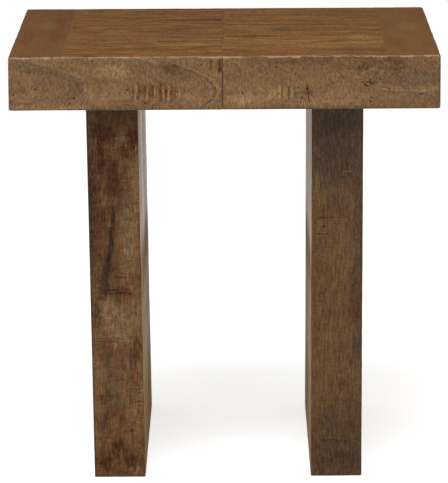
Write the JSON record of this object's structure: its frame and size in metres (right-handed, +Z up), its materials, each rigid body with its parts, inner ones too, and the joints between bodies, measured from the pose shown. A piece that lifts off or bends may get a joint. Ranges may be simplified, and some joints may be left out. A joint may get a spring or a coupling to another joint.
{
  "type": "end table",
  "caption": "Square-edged end table of stained solid wood: a thick planked top with a mitred edge on two slab legs bolted up inside it.",
  "frame": {"origin": "on the floor, under the middle of the top", "axes": "+X to the right along the wide side, +Y from the front to the back, +Z up"},
  "size_m": [0.61, 0.508, 0.62],
  "materials": {
    "top_wood": "stained and waxed, satin, with distressed edges",
    "leg_wood": "stained darker and waxed, satin, with distressed edges",
    "frame_wood": "sawn and unstained",
    "zinc_steel": "zinc plated"
  },
  "bodies": {
    "root": {"apron_back_left": "top_wood", "apron_back_right": "top_wood", "apron_end_left": "top_wood", "apron_end_right": "top_wood", "apron_front_left": "top_wood", "apron_front_right": "top_wood", "bearer_left_inner": "frame_wood", "bearer_left_outer": "frame_wood", "bearer_right_inner": "frame_wood", "bearer_right_outer": "frame_wood", "border_back_left": "top_wood", "border_back_right": "top_wood", "border_end_left": "top_wood", "border_end_right": "top_wood", "border_front_left": "top_wood", "border_front_right": "top_wood", "centre_batten": "frame_wood", "corner_blocks": "frame_wood", "leg_bolts": "zinc_steel", "leg_left_back_board": "leg_wood", "leg_left_foot_rail": "frame_wood", "leg_left_front_board": "leg_wood", "leg_left_head_rail": "frame_wood", "leg_left_inner_plank_1": "leg_wood", "leg_left_inner_plank_2": "leg_wood", "leg_left_inner_plank_3": "leg_wood", "leg_left_inner_plank_4": "leg_wood", "leg_left_outer_plank_1": "leg_wood", "leg_left_outer_plank_2": "leg_wood", "leg_left_outer_plank_3": "leg_wood", "leg_left_outer_plank_4": "leg_wood", "leg_nuts": "zinc_steel", "leg_right_back_board": "leg_wood", "leg_right_foot_rail": "frame_wood", "leg_right_front_board": "leg_wood", "leg_right_head_rail": "frame_wood", "leg_right_inner_plank_1": "leg_wood", "leg_right_inner_plank_2": "leg_wood", "leg_right_inner_plank_3": "leg_wood", "leg_right_inner_plank_4": "leg_wood", "leg_right_outer_plank_1": "leg_wood", "leg_right_outer_plank_2": "leg_wood", "leg_right_outer_plank_3": "leg_wood", "leg_right_outer_plank_4": "leg_wood", "leg_tenons": "frame_wood", "leg_washers": "zinc_steel", "loose_tongues": "frame_wood", "mitre_splines": "frame_wood", "plank_back_left": "top_wood", "plank_back_right": "top_wood", "plank_front_left": "top_wood", "plank_front_right": "top_wood", "plank_middle_left": "top_wood", "plank_middle_right": "top_wood", "splice_block_back": "frame_wood", "splice_block_front": "frame_wood"}
  },
  "joints": []
}
